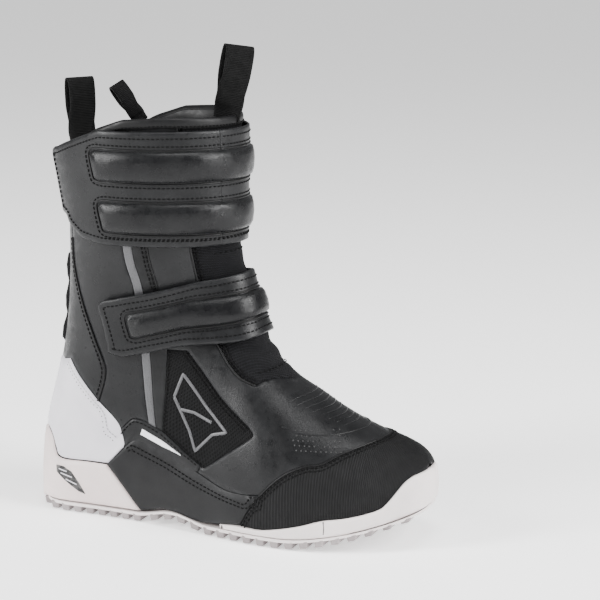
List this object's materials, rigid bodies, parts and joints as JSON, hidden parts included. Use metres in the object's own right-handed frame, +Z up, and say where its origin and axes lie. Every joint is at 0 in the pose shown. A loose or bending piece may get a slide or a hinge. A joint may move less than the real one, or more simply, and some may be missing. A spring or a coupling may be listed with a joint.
{
  "type": "touring boot",
  "caption": "Mid-height touring boot with moulded heel shells, lugged sole, hook-and-loop straps over a stretch front, pull loops and a flexing ankle.",
  "frame": {"origin": "middle of the overall box, on the ground under the tread", "axes": "+Z up, +X from heel to toe, -Y towards the outer side of the foot, +Y towards the inner side"},
  "size_m": [0.2907, 0.1155, 0.3317],
  "materials": {
    "outsole": "matte moulded rubber",
    "midsole": "matte EVA foam",
    "insole_board": "fibre board",
    "footbed": "knit-covered foam",
    "forefoot_foxing": "matte moulded foam rubber",
    "heel_counter": "satin moulded plastic",
    "heel_badge": "soft moulded insert",
    "heel_cup": "satin synthetic leather",
    "quarter_outer": "full-grain leather",
    "quarter_inner": "full-grain leather",
    "reflective_strip_low": "reflective film",
    "reflective_strip_high": "reflective film",
    "mesh_window": "open mesh",
    "side_emblem": "printed outline",
    "instep_facing": "synthetic leather",
    "rand_outer": "smooth synthetic leather",
    "rand_inner": "smooth synthetic leather",
    "heel_tab": "smooth synthetic leather",
    "side_wedge": "reflective film",
    "vamp": "full-grain leather",
    "toe_cap": "fine ribbed textile",
    "toe_lining": "padded knit lining",
    "heel_lining": "padded knit lining",
    "shaft_back": "full-grain leather",
    "shaft_quarter_outer": "full-grain leather",
    "shaft_quarter_inner": "full-grain leather",
    "shaft_band_outer": "woven textile",
    "shaft_facing_outer": "full-grain leather",
    "shaft_facing_inner": "full-grain leather",
    "front_gusset": "ribbed stretch textile",
    "shaft_lining": "padded knit lining",
    "collar_binding": "bound edge",
    "ankle_guard_outer": "moulded foam",
    "ankle_guard_inner": "moulded foam",
    "rear_flex": "folded stretch panel",
    "side_flex_outer": "stretch panel",
    "side_flex_inner": "stretch panel",
    "front_flex": "ribbed stretch textile",
    "upper_strap_root": "full-grain leather",
    "upper_strap_front": "full-grain leather",
    "upper_strap_end": "full-grain leather",
    "lower_strap_root": "full-grain leather",
    "lower_strap_end": "full-grain leather",
    "upper_rib_top_root": "padded leather",
    "upper_rib_top_front": "padded leather",
    "upper_rib_top_end": "padded leather",
    "upper_rib_bottom_root": "padded leather",
    "upper_rib_bottom_front": "padded leather",
    "upper_rib_bottom_end": "padded leather",
    "lower_rib_root": "padded leather",
    "lower_rib_end": "padded leather",
    "upper_loop_pad": "hook-and-loop tape",
    "upper_hook_pad": "hook-and-loop tape",
    "lower_loop_pad": "hook-and-loop tape",
    "lower_hook_pad": "hook-and-loop tape",
    "rear_loop": "ribbed webbing",
    "front_loop": "ribbed webbing",
    "side_loop": "ribbed webbing"
  },
  "bodies": {
    "foot": {"outsole": "outsole", "midsole": "midsole", "insole_board": "insole_board", "footbed": "footbed", "forefoot_foxing": "forefoot_foxing", "heel_counter": "heel_counter", "heel_badge": "heel_badge", "heel_cup": "heel_cup", "quarter_outer": "quarter_outer", "quarter_inner": "quarter_inner", "reflective_strip_low": "reflective_strip_low", "mesh_window": "mesh_window", "side_emblem": "side_emblem", "instep_facing": "instep_facing", "rand_outer": "rand_outer", "rand_inner": "rand_inner", "heel_tab": "heel_tab", "side_wedge": "side_wedge", "vamp": "vamp", "toe_cap": "toe_cap", "toe_lining": "toe_lining", "heel_lining": "heel_lining", "rear_flex": "rear_flex", "side_flex_outer": "side_flex_outer", "side_flex_inner": "side_flex_inner", "front_flex": "front_flex"},
    "shaft": {"shaft_back": "shaft_back", "shaft_quarter_outer": "shaft_quarter_outer", "shaft_quarter_inner": "shaft_quarter_inner", "reflective_strip_high": "reflective_strip_high", "shaft_band_outer": "shaft_band_outer", "shaft_facing_outer": "shaft_facing_outer", "shaft_facing_inner": "shaft_facing_inner", "front_gusset": "front_gusset", "shaft_lining": "shaft_lining", "collar_binding": "collar_binding", "ankle_guard_outer": "ankle_guard_outer", "ankle_guard_inner": "ankle_guard_inner", "upper_strap_root": "upper_strap_root", "upper_rib_top_root": "upper_rib_top_root", "upper_rib_bottom_root": "upper_rib_bottom_root", "lower_strap_root": "lower_strap_root", "lower_rib_root": "lower_rib_root", "upper_loop_pad": "upper_loop_pad", "lower_loop_pad": "lower_loop_pad"},
    "upper_strap_front": {"upper_strap_front": "upper_strap_front", "upper_rib_top_front": "upper_rib_top_front", "upper_rib_bottom_front": "upper_rib_bottom_front"},
    "upper_strap_end": {"upper_strap_end": "upper_strap_end", "upper_rib_top_end": "upper_rib_top_end", "upper_rib_bottom_end": "upper_rib_bottom_end", "upper_hook_pad": "upper_hook_pad"},
    "lower_strap_end": {"lower_strap_end": "lower_strap_end", "lower_rib_end": "lower_rib_end", "lower_hook_pad": "lower_hook_pad"},
    "rear_loop": {"rear_loop": "rear_loop"},
    "front_loop": {"front_loop": "front_loop"},
    "side_loop": {"side_loop": "side_loop"}
  },
  "joints": [
    {"name": "ankle_flex", "type": "hinge", "parent": "foot", "child": "shaft", "pos_m": [-0.0749, 0, 0.108], "axis": [0, 1, 0], "range_deg": [-6, 12], "stiffness_Nm_per_rad": 15, "deforming": ["rear_flex", "side_flex_outer", "side_flex_inner", "front_flex"]},
    {"name": "upper_strap_open", "type": "hinge", "parent": "shaft", "child": "upper_strap_front", "pos_m": [0.0084, 0.0196, 0.2358], "axis": [0.0128, 0.0313, 0.9994], "range_deg": [0, 60]},
    {"name": "upper_strap_unwrap", "type": "hinge", "parent": "upper_strap_front", "child": "upper_strap_end", "pos_m": [-0.0367, -0.0527, 0.2353], "axis": [0.0171, -0.0791, 0.9967], "range_deg": [0, 48]},
    {"name": "lower_strap_open", "type": "hinge", "parent": "shaft", "child": "lower_strap_end", "pos_m": [0.0221, 0.0118, 0.1582], "axis": [-0.3645, 0.067, 0.9288], "range_deg": [0, 60]},
    {"name": "rear_loop_tilt", "type": "hinge", "parent": "shaft", "child": "rear_loop", "pos_m": [-0.1159, 0.0032, 0.2614], "axis": [1, 0, 0], "range_deg": [-40, 40], "stiffness_Nm_per_rad": 0.03},
    {"name": "front_loop_tilt", "type": "hinge", "parent": "shaft", "child": "front_loop", "pos_m": [-0.0019, -0.0008, 0.2869], "axis": [0.9806, 0, -0.1961], "range_deg": [-40, 40], "stiffness_Nm_per_rad": 0.03},
    {"name": "side_loop_tilt", "type": "hinge", "parent": "shaft", "child": "side_loop", "pos_m": [-0.0899, 0.0392, 0.2738], "axis": [0.7809, 0, 0.6247], "range_deg": [-30, 30], "stiffness_Nm_per_rad": 0.02}
  ],
  "couplings": [
    {"joint": "upper_strap_unwrap", "follows": "upper_strap_open", "ratio": 0.8}
  ]
}
